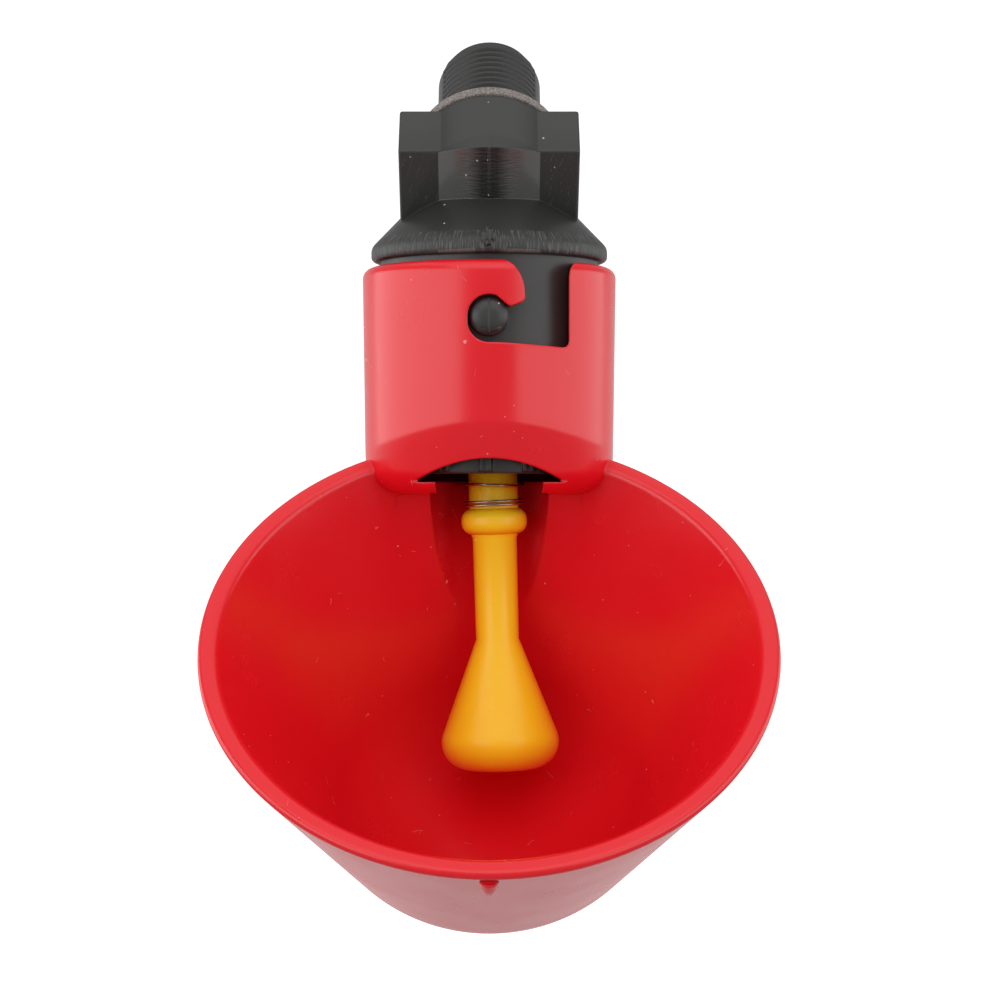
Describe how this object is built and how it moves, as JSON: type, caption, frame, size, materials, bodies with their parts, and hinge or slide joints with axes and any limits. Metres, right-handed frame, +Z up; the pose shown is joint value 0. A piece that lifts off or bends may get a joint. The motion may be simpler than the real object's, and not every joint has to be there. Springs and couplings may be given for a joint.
{
  "type": "poultry drinking cup",
  "caption": "Angled pipe-thread valve with a bayonet-mounted round drinking cup and a sprung trigger that birds nudge for water.",
  "frame": {"origin": "on the pipe thread's axis, at the gasket's outer face, where the pipe or fitting seats", "axes": "+Y out along the thread into the pipe, +Z up, the cup's front lip towards -Y"},
  "size_m": [0.0854, 0.1375, 0.0929],
  "materials": {
    "black_plastic": "moulded, semi-matt with fine scratches",
    "red_plastic": "moulded, glossy",
    "yellow_plastic": "moulded, satin gloss",
    "gasket_rubber": "matt grey-brown sheet",
    "seat_rubber": "matt",
    "spring_steel": "bright drawn wire"
  },
  "bodies": {
    "valve": {"valve_body": "black_plastic", "thread_gasket": "gasket_rubber", "retaining_nut": "black_plastic", "seat_washer": "seat_rubber"},
    "cup": {"drinking_cup": "red_plastic"},
    "rocker": {"valve_head": "seat_rubber"},
    "trigger": {"trigger_stem": "yellow_plastic", "trigger_spring": "spring_steel"}
  },
  "joints": [
    {"name": "cup_lift", "type": "slide", "parent": "valve", "child": "cup", "axis": [0, 0.7071, 0.7071], "range_m": [0, 0.00075]},
    {"name": "trigger_tip", "type": "hinge", "parent": "valve", "child": "rocker", "pos_m": [0.0003, -0.02852, -0.03062], "axis": [1, 0, 0], "range_deg": [-5, 0.5], "stiffness_Nm_per_rad": 0.05},
    {"name": "trigger_sway", "type": "hinge", "parent": "rocker", "child": "trigger", "pos_m": [0.0003, -0.02852, -0.03062], "axis": [0, 0.7071, -0.7071], "range_deg": [-4, 4], "stiffness_Nm_per_rad": 0.05}
  ]
}
